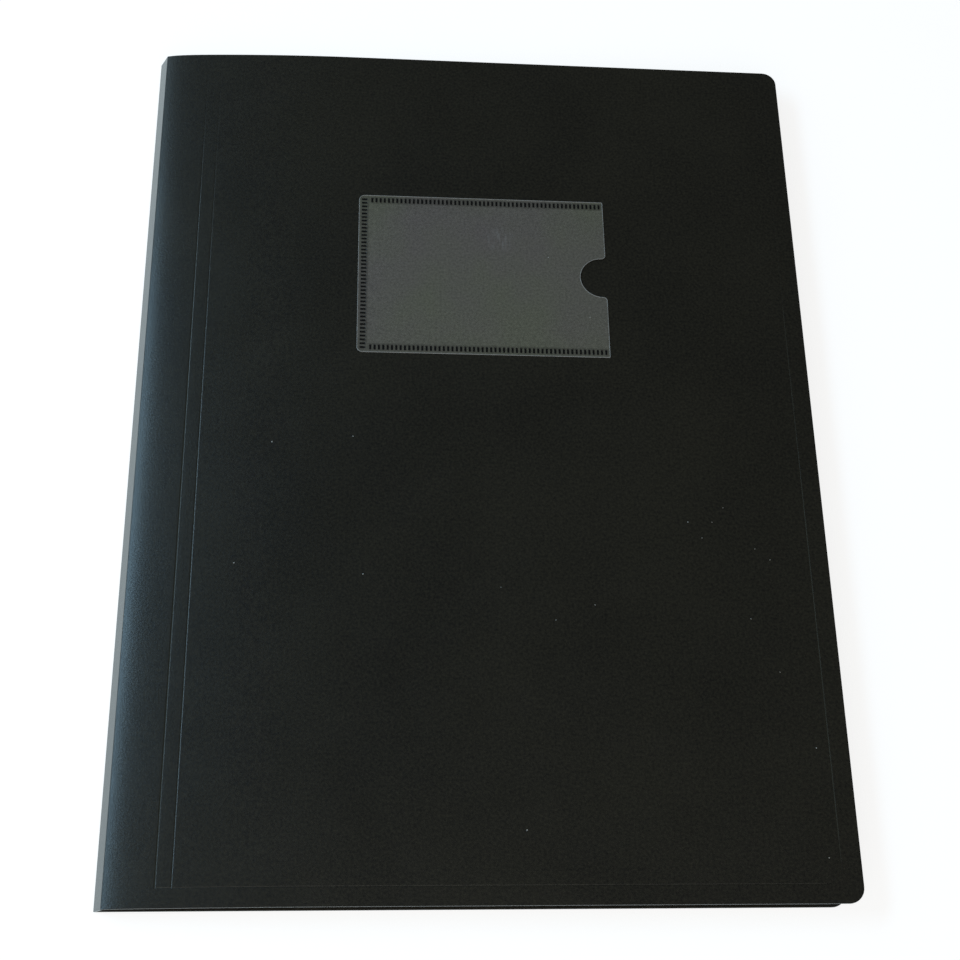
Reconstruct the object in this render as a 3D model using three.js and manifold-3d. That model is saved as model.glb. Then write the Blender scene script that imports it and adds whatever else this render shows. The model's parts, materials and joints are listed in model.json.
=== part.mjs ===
// A closed A4 display book lying on its back cover.
// One creased plastic sheet makes the front cover, the spine and the back cover.
// Twenty clear pockets are welded into one block along the spine,
// and a clear card pocket is welded to the front cover.
// Millimetres, +Z up, +Y towards the head of the book, spine on the -X side.
import * as THREE from "three";
import { mergeVertices } from "three/addons/utils/BufferGeometryUtils.js";
import Module from "manifold-3d";

const wasm = await Module();
wasm.setup();

// Cover sheet
const coverHeight = 310; // tail to head
const coverWidth = 231; // fold to fore-edge, on each cover
const sheet = 0.75; // thickness of the cover sheet
const cornerRadius = 5; // fore-edge corners
const closedHeight = 10; // table to the top of the closed front cover
const bulgeDrop = 3.1; // the front cover sinks this much towards the fold
const bulgeReach = 70; // and rises from the fold over this width
const rollDrop = 0.8; // it also rolls down by this much right beside the fold
const rollReach = 4; // and the roll fades out over this width
const spineLean = 2.8; // the front fold stands this far right of the rear fold
const foldClearance = 0.3; // between a cover's round fold edge and the spine

// Creases pressed into the outside of the covers
const halfCrease = 0.3; // half width of a crease
const creaseDepth = 0.25;
const hingeCrease = 15.4; // first crease, from the fold
const panelCrease = 20.3; // second crease, from the fold
const foreEdgeMargin = 6.5; // crease along the fore-edge
const tailMargin = 5.9; // crease along the tail
const headMargin = 6; // where the upright creases end at the head
const creaseCornerRadius = 6; // where the tail and fore-edge creases meet

// Block of clear pockets
const pocketCount = 20;
const pocketHeight = 303; // takes an A4 sheet, 297 high
const foreEdgeInset = 6; // the block ends this far inside the back cover
const seatClearance = 0.3; // between pieces that lie on each other
const pocketShare = 0.68; // of each pocket's pitch, the rest is the gap to the next
const edgeDepth = 1.6; // depth of the gaps between pocket edges
const edgeStagger = 0.7; // how unevenly the pocket edges end
const weldWidth = 7; // welded margin beside the spine

// Card pocket on the front cover
const cardPocketWidth = 88.6;
const cardPocketHeight = 63.6;
const cardPocketFromFold = 72.4;
const cardPocketFromHead = 61;
const filmThickness = 0.2;
const cardGap = 0.3; // room for a card under the film
const seamWidth = 3.4; // welded margin on the three closed sides
const cardPocketCorner = 2;
const notchRadius = 7.8; // thumb notch in the open side
const notchLip = 1.5;
const weldPitch = 1.5; // from one weld mark to the next
const weldMark = 0.7; // width of a weld mark
const weldMarkLength = 2;
const weldMarkDepth = 0.3;
const weldMarkInset = 1; // from the film's edge

const curveSteps = 14;
const arcSteps = 8;

// Fold axes, seen from the tail: the hinges of the two covers
const rearFold = new THREE.Vector2(0, sheet / 2);
const frontFold = new THREE.Vector2(spineLean, closedHeight - bulgeDrop - rollDrop - sheet / 2);
const spineAngle = Math.atan2(frontFold.y - rearFold.y, frontFold.x - rearFold.x);

const colours = {
  cover: { color: 0x1c1d1b, roughness: 0.5, metalness: 0 },
  pockets: { color: 0xb9c0c2, roughness: 0.25, metalness: 0 },
  film: { color: 0x9aa09c, roughness: 0.35, metalness: 0, transparent: true, opacity: 0.5 },
};

function solid(geometry) {
  const bare = geometry.clone();
  bare.deleteAttribute("normal");
  bare.deleteAttribute("uv");
  const merged = mergeVertices(bare, 1e-4);
  return new wasm.Manifold(
    new wasm.Mesh({
      numProp: 3,
      vertProperties: merged.attributes.position.array,
      triVerts: new Uint32Array(merged.index.array),
    }),
  );
}

function geometryOf(manifold) {
  const mesh = manifold.getMesh();
  const geometry = new THREE.BufferGeometry();
  geometry.setAttribute("position", new THREE.BufferAttribute(mesh.vertProperties, 3));
  geometry.setIndex(new THREE.BufferAttribute(mesh.triVerts, 1));
  geometry.computeVertexNormals();
  return geometry;
}

// A profile seen from the tail, x across and y up, run from the tail to the head.
function alongHeight(profile, tail, head) {
  const geometry = new THREE.ExtrudeGeometry(profile, {
    depth: head - tail,
    bevelEnabled: false,
    curveSegments: arcSteps,
  });
  return solid(geometry.rotateX(Math.PI / 2).translate(0, head, 0));
}

// An outline seen from above, raised from one height to another.
function raised(outline, low, high) {
  const geometry = new THREE.ExtrudeGeometry(outline, {
    depth: high - low,
    bevelEnabled: false,
    curveSegments: arcSteps,
  });
  return solid(geometry.translate(0, 0, low));
}

function boxBetween(low, high) {
  const size = new THREE.Vector3().subVectors(high, low);
  const middle = new THREE.Vector3().addVectors(low, high).multiplyScalar(0.5);
  const geometry = new THREE.BoxGeometry(size.x, size.y, size.z);
  return solid(geometry.translate(middle.x, middle.y, middle.z));
}

// Front cover's outer face, at a distance from the fold. It is flat from bulgeReach on.
function outerFace(fromFold) {
  const share = THREE.MathUtils.clamp(fromFold / bulgeReach, 0, 1);
  const roll = rollDrop * Math.exp((-share * bulgeReach) / rollReach) * (1 - share);
  return closedHeight - bulgeDrop * (1 - share) ** 2 - roll;
}

function innerFace(fromFold) {
  return outerFace(fromFold) - sheet;
}

// Distances from the fold that follow the curved part of the front cover.
function bulgeStations(first, last) {
  const stations = [first];
  for (let i = 0; i <= curveSteps; i++) {
    const station = bulgeReach * (i / curveSteps) ** 2;
    if (station > first && station < last) stations.push(station);
  }
  stations.push(last);
  return stations;
}

const tail = -coverHeight / 2;
const head = coverHeight / 2;

// A cover's outline from above, with round fore-edge corners.
function coverOutline(foldX) {
  const fore = foldX + coverWidth;
  const beyond = foldX - sheet;
  const outline = new THREE.Shape();
  outline.moveTo(beyond, tail);
  outline.lineTo(fore - cornerRadius, tail);
  outline.absarc(fore - cornerRadius, tail + cornerRadius, cornerRadius, -Math.PI / 2, 0);
  outline.lineTo(fore, head - cornerRadius);
  outline.absarc(fore - cornerRadius, head - cornerRadius, cornerRadius, 0, Math.PI / 2);
  outline.lineTo(beyond, head);
  return outline;
}

// A region of the front cover's section, between two heights above its outer face.
function facingBand(below, above, height) {
  const stations = bulgeStations(0, bulgeReach).concat(coverWidth);
  const edge = (rise) => stations.map((s) => new THREE.Vector2(frontFold.x + s, outerFace(s) + rise));
  return alongHeight(new THREE.Shape([...edge(below), ...edge(above).reverse()]), -height / 2, height / 2);
}

// Outline from above of the crease that runs down beside the fold, along the tail
// and up the fore-edge.
function frameCrease() {
  const left = frontFold.x + hingeCrease;
  const right = frontFold.x + coverWidth - foreEdgeMargin;
  const low = tail + tailMargin;
  const high = head - headMargin;
  const turn = new THREE.Vector2(right - creaseCornerRadius, low + creaseCornerRadius);
  const outline = new THREE.Shape();
  outline.moveTo(left - halfCrease, high);
  outline.lineTo(left - halfCrease, low - halfCrease);
  outline.lineTo(turn.x, low - halfCrease);
  outline.absarc(turn.x, turn.y, creaseCornerRadius + halfCrease, -Math.PI / 2, 0);
  outline.lineTo(right + halfCrease, high);
  outline.lineTo(right - halfCrease, high);
  outline.lineTo(right - halfCrease, turn.y);
  outline.absarc(turn.x, turn.y, creaseCornerRadius - halfCrease, 0, -Math.PI / 2, true);
  outline.lineTo(left + halfCrease, low + halfCrease);
  outline.lineTo(left + halfCrease, high);
  return raised(outline, 0, 2 * closedHeight);
}

// An upright crease through a cover, cut from one height to another.
function uprightCrease(x, low, high) {
  return boxBetween(
    new THREE.Vector3(x - halfCrease, tail + tailMargin, low),
    new THREE.Vector3(x + halfCrease, head - headMargin, high),
  );
}

function frontCover() {
  const sides = facingBand(-sheet, 0, coverHeight);
  const foldEdge = new THREE.CylinderGeometry(sheet / 2, sheet / 2, coverHeight, 4 * arcSteps);
  const round = solid(foldEdge.translate(frontFold.x, 0, frontFold.y));
  const creases = frameCrease()
    .add(uprightCrease(frontFold.x + panelCrease, 0, 2 * closedHeight))
    .intersect(facingBand(-creaseDepth, sheet, coverHeight));
  return sides
    .add(round)
    .intersect(raised(coverOutline(frontFold.x), 0, 2 * closedHeight))
    .subtract(creases);
}

function backCover() {
  const profile = new THREE.Shape();
  profile.moveTo(rearFold.x, 0);
  profile.lineTo(rearFold.x + coverWidth, 0);
  profile.lineTo(rearFold.x + coverWidth, sheet);
  profile.lineTo(rearFold.x, sheet);
  profile.absarc(rearFold.x, rearFold.y, sheet / 2, Math.PI / 2, Math.PI * 1.5);
  let cover = alongHeight(profile, tail, head).intersect(raised(coverOutline(rearFold.x), -sheet, 2 * sheet));
  for (const fromFold of [hingeCrease, panelCrease])
    cover = cover.subtract(uprightCrease(rearFold.x + fromFold, -sheet, creaseDepth));
  return cover;
}

// The spine leans between the two folds. Its ends are level, clear of both covers' swing.
function spine() {
  const low = rearFold.y + sheet / 2 + foldClearance;
  const high = frontFold.y - sheet / 2 - foldClearance;
  const profile = new THREE.Shape([
    new THREE.Vector2(besideSpine(-sheet / 2, low), low),
    new THREE.Vector2(besideSpine(sheet / 2, low), low),
    new THREE.Vector2(besideSpine(sheet / 2, high), high),
    new THREE.Vector2(besideSpine(-sheet / 2, high), high),
  ]);
  return alongHeight(profile, tail, head);
}

// Lines that lean with the spine: x at a height, offset square to the spine.
function besideSpine(offset, z) {
  return rearFold.x + (z - rearFold.y) / Math.tan(spineAngle) + offset / Math.sin(spineAngle);
}

const blockFloor = sheet + seatClearance;
const blockTop = innerFace(0) - seatClearance;
const blockOffset = sheet / 2 + seatClearance;

// Height inside the block, from 0 on its floor to 1 under the front cover.
function blockLevel(share, x) {
  const ceiling = innerFace(x - frontFold.x) - seatClearance;
  return THREE.MathUtils.lerp(blockFloor, ceiling, share);
}

// A layer of the block between two levels, from beside the spine to x = end.
function blockLayer(lower, upper, offset, end, height) {
  const leanEnd = besideSpine(offset, blockTop);
  const stations = bulgeStations(leanEnd - frontFold.x, end - frontFold.x)
    .slice(1)
    .map((fromFold) => frontFold.x + fromFold);
  const level = (share) => {
    const z = blockLevel(share, leanEnd);
    const start = new THREE.Vector2(besideSpine(offset, z), z);
    return [start, ...stations.map((x) => new THREE.Vector2(x, blockLevel(share, x)))];
  };
  const profile = new THREE.Shape([...level(lower), ...level(upper).reverse()]);
  return alongHeight(profile, -height / 2, height / 2);
}

// The gaps between the pockets run in from the head, the tail and the fore-edge,
// but the pockets stay joined along the spine.
function pocketBlock() {
  const end = rearFold.x + coverWidth - foreEdgeInset;
  const pitch = 1 / pocketCount;
  const halfGap = ((1 - pocketShare) * pitch) / 2;
  const inner = blockOffset + edgeStagger;
  const weldEnd = besideSpine(inner, blockTop) + weldWidth;
  const core = [pitch / 2, 1 - pitch / 2, inner];
  let block = blockLayer(...core, end - edgeDepth, pocketHeight - 2 * edgeDepth);
  block = block.add(blockLayer(...core, weldEnd, pocketHeight - 2 * edgeStagger));
  for (let i = 0; i < pocketCount; i++) {
    const short = (edgeStagger * ((i * 3) % 7)) / 6;
    const lower = i * pitch + (i ? halfGap : 0);
    const upper = (i + 1) * pitch - (i < pocketCount - 1 ? halfGap : 0);
    block = block.add(blockLayer(lower, upper, blockOffset, end - short, pocketHeight - short));
  }
  return block;
}

// Card pocket
const cardLeft = frontFold.x + cardPocketFromFold;
const cardRight = cardLeft + cardPocketWidth;
const cardTop = head - cardPocketFromHead;
const cardBottom = cardTop - cardPocketHeight;
const filmTop = closedHeight + cardGap + filmThickness;

function cardPocketOutline() {
  const middle = (cardTop + cardBottom) / 2;
  const reach = notchRadius + notchLip;
  const r = cardPocketCorner;
  const outline = new THREE.Shape();
  outline.moveTo(cardLeft + r, cardBottom);
  outline.lineTo(cardRight, cardBottom);
  outline.lineTo(cardRight, middle - reach);
  outline.absarc(cardRight - notchLip, middle - reach, notchLip, 0, Math.PI / 2);
  outline.absarc(cardRight - notchLip, middle, notchRadius, -Math.PI / 2, Math.PI / 2, true);
  outline.absarc(cardRight - notchLip, middle + reach, notchLip, -Math.PI / 2, 0);
  outline.lineTo(cardRight, cardTop);
  outline.lineTo(cardLeft + r, cardTop);
  outline.absarc(cardLeft + r, cardTop - r, r, Math.PI / 2, Math.PI);
  outline.lineTo(cardLeft, cardBottom + r);
  outline.absarc(cardLeft + r, cardBottom + r, r, Math.PI, Math.PI * 1.5);
  return outline;
}

// Middles of the weld marks along one side of the card pocket.
function markMiddles(from, to) {
  const count = Math.floor((to - from) / weldPitch) + 1;
  const spare = (to - from - (count - 1) * weldPitch) / 2;
  return Array.from({ length: count }, (_, i) => from + spare + i * weldPitch);
}

function weldMarkTool(x, y, width, height) {
  return boxBetween(
    new THREE.Vector3(x - width / 2, y - height / 2, filmTop - weldMarkDepth),
    new THREE.Vector3(x + width / 2, y + height / 2, filmTop + filmThickness),
  );
}

function cardPocket() {
  const inset = weldMarkInset + weldMarkLength / 2;
  const firstAcross = cardLeft + inset + weldMarkLength;
  let pocket = raised(cardPocketOutline(), closedHeight, filmTop);
  pocket = pocket.subtract(
    boxBetween(
      new THREE.Vector3(cardLeft + seamWidth, cardBottom + seamWidth, closedHeight - cardGap),
      new THREE.Vector3(cardRight + notchLip, cardTop - seamWidth, closedHeight + cardGap),
    ),
  );
  const tools = [];
  for (const x of markMiddles(firstAcross, cardRight - weldMark))
    for (const y of [cardBottom + inset, cardTop - inset]) tools.push(weldMarkTool(x, y, weldMark, weldMarkLength));
  for (const y of markMiddles(cardBottom + weldMarkInset + weldMark, cardTop - weldMarkInset - weldMark))
    tools.push(weldMarkTool(cardLeft + inset, y, weldMarkLength, weldMark));
  for (const tool of tools) pocket = pocket.subtract(tool);
  return pocket;
}

function piece(name, manifold, look) {
  const mesh = new THREE.Mesh(geometryOf(manifold), new THREE.MeshStandardMaterial(look));
  mesh.name = name;
  return mesh;
}

const displayBook = new THREE.Group();
displayBook.add(
  piece("front_cover", frontCover(), colours.cover),
  piece("card_pocket", cardPocket(), colours.film),
  piece("spine", spine(), colours.cover),
  piece("pocket_block", pocketBlock(), colours.pockets),
  piece("back_cover", backCover(), colours.cover),
);

// The origin is under the middle of the book.
const leftEnd = rearFold.x - sheet / 2;
const rightEnd = frontFold.x + coverWidth;
displayBook.position.x = -(leftEnd + rightEnd) / 2;

export default displayBook;
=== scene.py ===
"""A closed A4 display book in black grained plastic, lying on its back cover."""

import json
import logging
import math
from dataclasses import dataclass, replace
from enum import Enum
from typing import Callable

import bmesh
import bpy
import numpy as np
from mathutils import Matrix, Vector


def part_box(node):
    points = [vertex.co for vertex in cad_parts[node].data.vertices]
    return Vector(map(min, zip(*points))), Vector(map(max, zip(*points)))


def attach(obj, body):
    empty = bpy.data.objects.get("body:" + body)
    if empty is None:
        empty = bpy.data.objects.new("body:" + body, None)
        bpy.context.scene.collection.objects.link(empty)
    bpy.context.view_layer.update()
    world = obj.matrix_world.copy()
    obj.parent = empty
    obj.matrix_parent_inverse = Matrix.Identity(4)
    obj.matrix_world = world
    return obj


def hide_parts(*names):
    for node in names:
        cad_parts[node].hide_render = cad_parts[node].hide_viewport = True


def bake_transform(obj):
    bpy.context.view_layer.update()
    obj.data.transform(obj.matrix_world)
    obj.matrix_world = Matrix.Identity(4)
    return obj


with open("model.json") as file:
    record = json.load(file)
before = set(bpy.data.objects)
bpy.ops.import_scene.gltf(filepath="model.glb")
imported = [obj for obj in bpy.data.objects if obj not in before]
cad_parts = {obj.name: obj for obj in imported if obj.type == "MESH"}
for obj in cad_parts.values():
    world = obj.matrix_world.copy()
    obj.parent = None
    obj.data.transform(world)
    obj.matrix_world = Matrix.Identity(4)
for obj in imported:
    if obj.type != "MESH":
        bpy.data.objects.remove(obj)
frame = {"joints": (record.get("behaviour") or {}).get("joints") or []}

MM = 0.001
log = logging.getLogger("display_book")

Colour = tuple[float, float, float, float]
Pair = tuple[float, float]
Triple = tuple[float, float, float]
Face = tuple[int, ...]
Socket = bpy.types.NodeSocket
Material = bpy.types.Material
Object = bpy.types.Object

# Step over which a slope is measured
PROBE = 0.05 * MM

# Depth and inset of a sheet's eased edge, as shares of its ease
EASED_RIM: tuple[Pair, ...] = ((0, 1), (0.3, 0.3), (1, 0))


class Body(Enum):
    """The pieces that move as one."""

    FRONT = "front_cover"
    PAGES = "pages"
    BACK = "back_cover"


class Slot(Enum):
    """The record's material slots."""

    COVER = "cover"
    FILM = "card_film"
    POCKETS = "pockets"


class SkinPart(Enum):
    """The finishes of a cover's skin, in the order of its face slots."""

    COVER = 0
    # Deep crease faces, coloured lighter as a painted highlight
    CREASE = 1
    SPINE = 2


class FilmPart(Enum):
    """The finishes of the card pocket's film, in the order of its face slots."""

    FILM = 0
    MARK = 1


# Shared sizes


@dataclass(frozen=True)
class Book:
    """Main sizes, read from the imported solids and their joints."""

    front_axis: np.ndarray
    rear_axis: np.ndarray
    cover_width: float
    head: float
    top: float
    sheet: float
    block_low: Vector
    block_high: Vector
    card_low: Vector
    card_high: Vector
    bulge_drop: float = 3.1 * MM
    bulge_reach: float = 70 * MM
    roll_reach: float = 4 * MM

    @classmethod
    def from_frame(cls) -> "Book":
        """Reads the sizes from the frame.

        Returns:
            The book's main sizes in metres.
        """
        axes = {joint["name"]: joint["pos_m"] for joint in frame["joints"]}
        front_axis = np.array([axes["front_fold"][0], axes["front_fold"][2]])
        rear_axis = np.array([axes["rear_fold"][0], axes["rear_fold"][2]])
        front_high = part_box("front_cover")[1]
        back_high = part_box("back_cover")[1]
        block_low, block_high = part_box("pocket_block")
        card_low, card_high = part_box("card_pocket")
        return cls(
            front_axis=front_axis,
            rear_axis=rear_axis,
            cover_width=front_high.x - front_axis[0],
            head=front_high.y,
            top=front_high.z,
            sheet=back_high.z,
            block_low=block_low,
            block_high=block_high,
            card_low=card_low,
            card_high=card_high,
        )

    @property
    def half(self) -> float:
        """Half the thickness of the cover sheet."""
        return self.sheet / 2

    @property
    def spine_way(self) -> np.ndarray:
        """Unit vector up the spine, from the rear fold to the front fold."""
        way = self.front_axis - self.rear_axis
        return way / np.linalg.norm(way)

    @property
    def spine_out(self) -> np.ndarray:
        """Unit vector out of the spine, square to its outer face."""
        way = self.spine_way
        return np.array([-way[1], way[0]])

    def front_face(self, from_fold: float) -> float:
        """Height of the front cover's outer face.

        Args:
            from_fold: Distance from the front fold.

        Returns:
            The height above the table.
        """
        share = min(max(from_fold / self.bulge_reach, 0.0), 1.0)
        fold_drop = self.top - self.front_axis[1] - self.half
        roll_drop = fold_drop - self.bulge_drop
        roll = roll_drop * math.exp(-share * self.bulge_reach / self.roll_reach) * (1 - share)
        return self.top - self.bulge_drop * (1 - share) ** 2 - roll


# Mesh helpers


def new_object(name: str, points: np.ndarray, faces: list[Face], join: float = 1e-7) -> Object:
    """Makes a smooth closed mesh object.

    Args:
        name: Name of the piece.
        points: Vertices, one row each.
        faces: Faces as tuples of vertex numbers.
        join: Vertices closer than this become one.

    Returns:
        The new object, linked to the scene.
    """
    mesh = bpy.data.meshes.new(name)
    mesh.from_pydata(points.tolist(), [], faces)
    work = bmesh.new()
    work.from_mesh(mesh)
    bmesh.ops.remove_doubles(work, verts=work.verts, dist=join)
    bmesh.ops.dissolve_degenerate(work, edges=work.edges, dist=join)
    bmesh.ops.recalc_face_normals(work, faces=work.faces)
    work.to_mesh(mesh)
    work.free()
    obj = bpy.data.objects.new(name, mesh)
    bpy.context.scene.collection.objects.link(obj)
    smooth(obj)
    return obj


def smooth(obj: Object, sharp_degrees: float = 40) -> None:
    """Shades an object smooth, apart from the edges that turn more than the angle."""
    obj.data.shade_smooth()
    obj.data.set_sharp_from_angle(angle=math.radians(sharp_degrees))


def dress(obj: Object, *materials: Material) -> None:
    """Gives an object its materials.

    Args:
        obj: The object to dress.
        *materials: Its materials, in the order of its face slots.
    """
    obj.data.materials.clear()
    for material in materials:
        obj.data.materials.append(material)


def report(obj: Object) -> None:
    """Reports a finished piece."""
    log.info("%s: %d faces", obj.name, len(obj.data.polygons))


def unit(way: np.ndarray) -> np.ndarray:
    """The vector at length 1."""
    return way / np.linalg.norm(way)


def spread(start: float, stop: float, count: int, power: float = 1.0) -> list[float]:
    """Stations from start to stop, closer together near start where power is above 1."""
    return [start + (stop - start) * (i / count) ** power for i in range(count + 1)]


def merged(*groups: list[float], apart: float = 0.02 * MM) -> list[float]:
    """Joins lists of stations into one rising list.

    Args:
        *groups: Lists of stations.
        apart: A station closer than this to the one before it is left out.

    Returns:
        The stations in order.
    """
    kept: list[float] = []
    for station in sorted(value for group in groups for value in group):
        if not kept or station - kept[-1] > apart:
            kept.append(station)
    return kept


def grid_faces(rows: int, columns: int, first: int = 0) -> list[Face]:
    """Faces of a grid whose vertices run along each row in turn.

    Args:
        rows: Rows of vertices.
        columns: Vertices in a row.
        first: Number of the grid's first vertex.

    Returns:
        The faces.
    """
    faces = []
    for r in range(rows - 1):
        for c in range(columns - 1):
            at = first + r * columns + c
            faces.append((at, at + 1, at + columns + 1, at + columns))
    return faces


def closed_faces(rows: int, columns: int) -> list[Face]:
    """Faces of two equal grids, one after the other, that are joined all round.

    Args:
        rows: Rows of vertices in each grid.
        columns: Vertices in a row.

    Returns:
        The faces.
    """
    total = rows * columns
    faces = grid_faces(rows, columns) + grid_faces(rows, columns, total)
    rim = list(range(columns)) + [r * columns + columns - 1 for r in range(1, rows)]
    rim += [total - 2 - i for i in range(columns - 1)] + [r * columns for r in range(rows - 2, 0, -1)]
    for i, a in enumerate(rim):
        b = rim[(i + 1) % len(rim)]
        faces.append((a, b, b + total, a + total))
    return faces


# Finishes


class Nodes:
    """A short way to build a material's nodes."""

    def __init__(self, name: str) -> None:
        """Starts an empty material.

        Args:
            name: Name of the material.
        """
        self.material = bpy.data.materials.new(name)
        self.material.use_nodes = True
        self.tree = self.material.node_tree
        self.tree.nodes.clear()
        self.out = self.tree.nodes.new("ShaderNodeOutputMaterial")
        self.place = self.tree.nodes.new("ShaderNodeTexCoord").outputs["Object"]

    def add(self, kind: str, settings: dict | None = None, **inputs: object) -> bpy.types.Node:
        """Adds a node.

        Args:
            kind: Type of the node, without its ShaderNode prefix.
            settings: Properties of the node itself.
            **inputs: Values or sockets for its inputs, named with _ for a space or as i and a number.

        Returns:
            The node.
        """
        node = self.tree.nodes.new("ShaderNode" + kind)
        for key, value in (settings or {}).items():
            setattr(node, key, value)
        for key, value in inputs.items():
            numbered = key[0] == "i" and key[1:].isdigit()
            socket = node.inputs[int(key[1:])] if numbered else node.inputs[key.replace("_", " ")]
            if isinstance(value, Socket):
                self.tree.links.new(value, socket)
            else:
                socket.default_value = value
        return node

    def combine(self, operation: str, *values: object) -> Socket:
        """Works out a sum of values or sockets."""
        inputs = {f"i{number}": value for number, value in enumerate(values)}
        return self.add("Math", {"operation": operation}, **inputs).outputs[0]

    def noise(self, scale: float, detail: float = 2, roughness: float = 0.5) -> Socket:
        """A noise over the object's own coordinates, with scale in features a metre."""
        node = self.add("TexNoise", Vector=self.place, Scale=scale, Detail=detail, Roughness=roughness)
        return node.outputs["Fac"]

    def ramp(self, value: Socket, low: float, high: float, to_low: float, to_high: float) -> Socket:
        """Maps a value from one range to another, held at both ends."""
        return self.add("MapRange", i0=value, i1=low, i2=high, i3=to_low, i4=to_high).outputs[0]

    def stretched(self, noise: Socket, to_low: float, to_high: float, spare: float = 0.3) -> Socket:
        """Maps the middle of a noise to a range, with a share left out at either end."""
        return self.ramp(noise, spare, 1 - spare, to_low, to_high)

    def mix(self, share: object, first: object, second: object) -> Socket:
        """Mixes two colours."""
        return self.add("Mix", {"data_type": "RGBA"}, i0=share, i6=first, i7=second).outputs[2]

    def finish(self, shader: bpy.types.Node) -> Material:
        """Joins the last shader to the output and gives the material back."""
        self.tree.links.new(shader.outputs[0], self.out.inputs["Surface"])
        return self.material


@dataclass(frozen=True)
class GrainedPlastic:
    """Black polypropylene with a fine leather grain."""

    name: str
    dark: Colour = (0.0026, 0.0025, 0.0014, 1)
    light: Colour = (0.0156, 0.0142, 0.0086, 1)
    speck_size: float = 0.9 * MM
    cloud_scale: float = 22
    cloud_depth: float = 0.06
    roughness: float = 0.35
    smoother_by: float = 0.012
    rougher_by: float = 0.015
    gloss_scale: float = 60
    gloss: float = 0.40
    grain_size: float = 0.65 * MM
    grain_depth: float = 0.020 * MM
    grain_softness: float = 0.6
    fine_grain: float = 0.3
    polish: float = 0.0
    polish_roughness: float = 0.3

    def build(self) -> Material:
        """Builds the material.

        Returns:
            The grained plastic.
        """
        nodes = Nodes(self.name)
        cells = nodes.add(
            "TexVoronoi",
            {"feature": "SMOOTH_F1"},
            Vector=nodes.place,
            Scale=1 / self.grain_size,
            Smoothness=self.grain_softness,
        ).outputs["Distance"]
        fine = nodes.noise(1 / (self.fine_grain * self.grain_size), detail=3, roughness=0.6)
        height = nodes.combine("ADD", cells, fine)
        bump = nodes.add("Bump", Strength=1.0, Distance=self.grain_depth, Height=height)
        speck = nodes.noise(1 / self.speck_size, detail=3, roughness=0.65)
        cloud = nodes.noise(self.cloud_scale, detail=3, roughness=0.55)
        cloud = nodes.stretched(cloud, -self.cloud_depth, self.cloud_depth)
        shade = nodes.combine("ADD", speck, cloud)
        colour = nodes.mix(nodes.stretched(shade, 0, 1), self.dark, self.light)
        gloss = nodes.noise(self.gloss_scale, detail=4)
        rough = nodes.stretched(gloss, self.roughness - self.smoother_by, self.roughness + self.rougher_by)
        shader = nodes.add(
            "BsdfPrincipled",
            Base_Color=colour,
            Roughness=rough,
            Specular_IOR_Level=self.gloss,
            Coat_Weight=self.polish,
            Coat_Roughness=self.polish_roughness,
            Normal=bump.outputs[0],
        )
        return nodes.finish(shader)


@dataclass(frozen=True)
class Scuff:
    """Fine slanting scratches round one place."""

    place: Triple
    reach: float = 6 * MM
    core: float = 0.3
    strength: float = 0.45
    slant: float = 0.9
    stretch: Triple = (1100, 170, 1)
    lines: Pair = (0.46, 0.62)
    tone: Colour = (0.36, 0.35, 0.34, 1)

    def share(self, nodes: Nodes) -> Socket:
        """Where the scratches are.

        Args:
            nodes: The material in the making.

        Returns:
            The share of scratches.
        """
        offset = nodes.add("VectorMath", {"operation": "DISTANCE"}, i0=nodes.place, i1=self.place)
        near = nodes.ramp(offset.outputs["Value"], self.core * self.reach, self.reach, self.strength, 0)
        turned = nodes.add("Mapping", i0=nodes.place, i2=(0, 0, self.slant), i3=self.stretch)
        scratch = nodes.add("TexNoise", Vector=turned.outputs[0], Scale=1.0, Detail=2.0).outputs["Fac"]
        return nodes.combine("MULTIPLY", near, nodes.ramp(scratch, *self.lines, 0, 1))


@dataclass(frozen=True)
class WeldBand:
    """The clearer welded band along the three closed sides of a film."""

    low: Vector
    high: Vector
    start: float = 0.5 * MM
    stop: float = 3.4 * MM
    soft: float = 0.3 * MM
    clearer: float = 0.10

    def haze(self, nodes: Nodes, cover: float) -> Socket:
        """How much haze the film has, less in the welded band.

        Args:
            nodes: The material in the making.
            cover: The film's haze away from the band.

        Returns:
            The share of haze.
        """
        place = nodes.add("SeparateXYZ", i0=nodes.place).outputs
        left = nodes.combine("SUBTRACT", place[0], self.low.x)
        tail = nodes.combine("SUBTRACT", place[1], self.low.y)
        head = nodes.combine("SUBTRACT", self.high.y, place[1])
        near = nodes.combine("MINIMUM", left, tail)
        near = nodes.combine("MINIMUM", near, head)
        edge = nodes.ramp(near, self.start, self.start + self.soft, 0, self.clearer)
        body = nodes.ramp(near, self.stop, self.stop + self.soft, 0, self.clearer)
        band = nodes.combine("SUBTRACT", edge, body)
        return nodes.combine("SUBTRACT", cover, band)


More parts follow.
